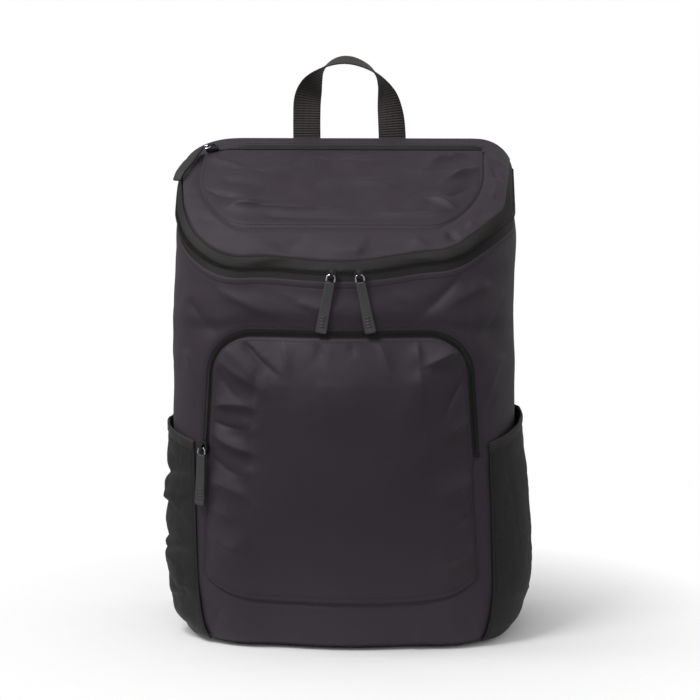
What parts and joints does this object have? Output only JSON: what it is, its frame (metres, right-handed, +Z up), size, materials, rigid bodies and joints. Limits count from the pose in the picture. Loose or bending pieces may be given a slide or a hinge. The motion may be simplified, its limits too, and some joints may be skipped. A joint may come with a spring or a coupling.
{
  "type": "cooler backpack",
  "caption": "Insulated cooler backpack with padded walls, a sloping zipped lid, a zipped front pocket, mesh side pockets, a webbing haul handle and padded shoulder straps.",
  "frame": {"origin": "on the ground under the middle of the overall box, with the flat base of the pack at z = 0", "axes": "x runs to the right of someone facing the front, y from the front to the back with the straps, z up to the haul handle"},
  "size_m": [0.315, 0.249, 0.4903],
  "materials": {
    "cloth": "charcoal woven polyester with a soft sheen",
    "panel_cloth": "charcoal woven polyester, slightly darker",
    "mesh": "black stretch mesh",
    "zip_tape": "black nylon zip tape and coil",
    "webbing": "black ribbed webbing and binding",
    "pull_rubber": "matt dark grey",
    "buckle_plastic": "black moulded",
    "slider_enamel": "black enamelled metal",
    "zip_metal": "bright nickel"
  },
  "bodies": {
    "root": {"body_wall": "cloth", "back_panel": "cloth", "base_panel": "cloth", "lid_panel": "cloth", "lid_pocket_panel": "panel_cloth", "lid_zip_tape": "zip_tape", "lid_zip_coil": "zip_tape", "main_zip_tape": "zip_tape", "main_zip_coil": "zip_tape", "front_pocket_panel": "panel_cloth", "pocket_zip_tape": "zip_tape", "pocket_zip_coil": "zip_tape", "left_mesh_pocket": "mesh", "left_pocket_binding": "webbing", "left_side_patch": "cloth", "right_mesh_pocket": "mesh", "right_pocket_binding": "webbing", "right_side_patch": "cloth", "haul_handle": "webbing", "left_shoulder_strap": "cloth", "left_strap_webbing": "webbing", "left_strap_buckle": "buckle_plastic", "right_shoulder_strap": "cloth", "right_strap_webbing": "webbing", "right_strap_buckle": "buckle_plastic", "main_left_slider": "slider_enamel", "main_left_bail": "zip_metal", "main_left_pull_tab": "pull_rubber", "main_right_slider": "slider_enamel", "main_right_bail": "zip_metal", "main_right_pull_tab": "pull_rubber", "pocket_slider": "slider_enamel", "pocket_bail": "zip_metal", "pocket_pull_tab": "pull_rubber", "lid_slider": "slider_enamel", "lid_bail": "zip_metal", "lid_pull_tab": "pull_rubber"}
  },
  "joints": []
}
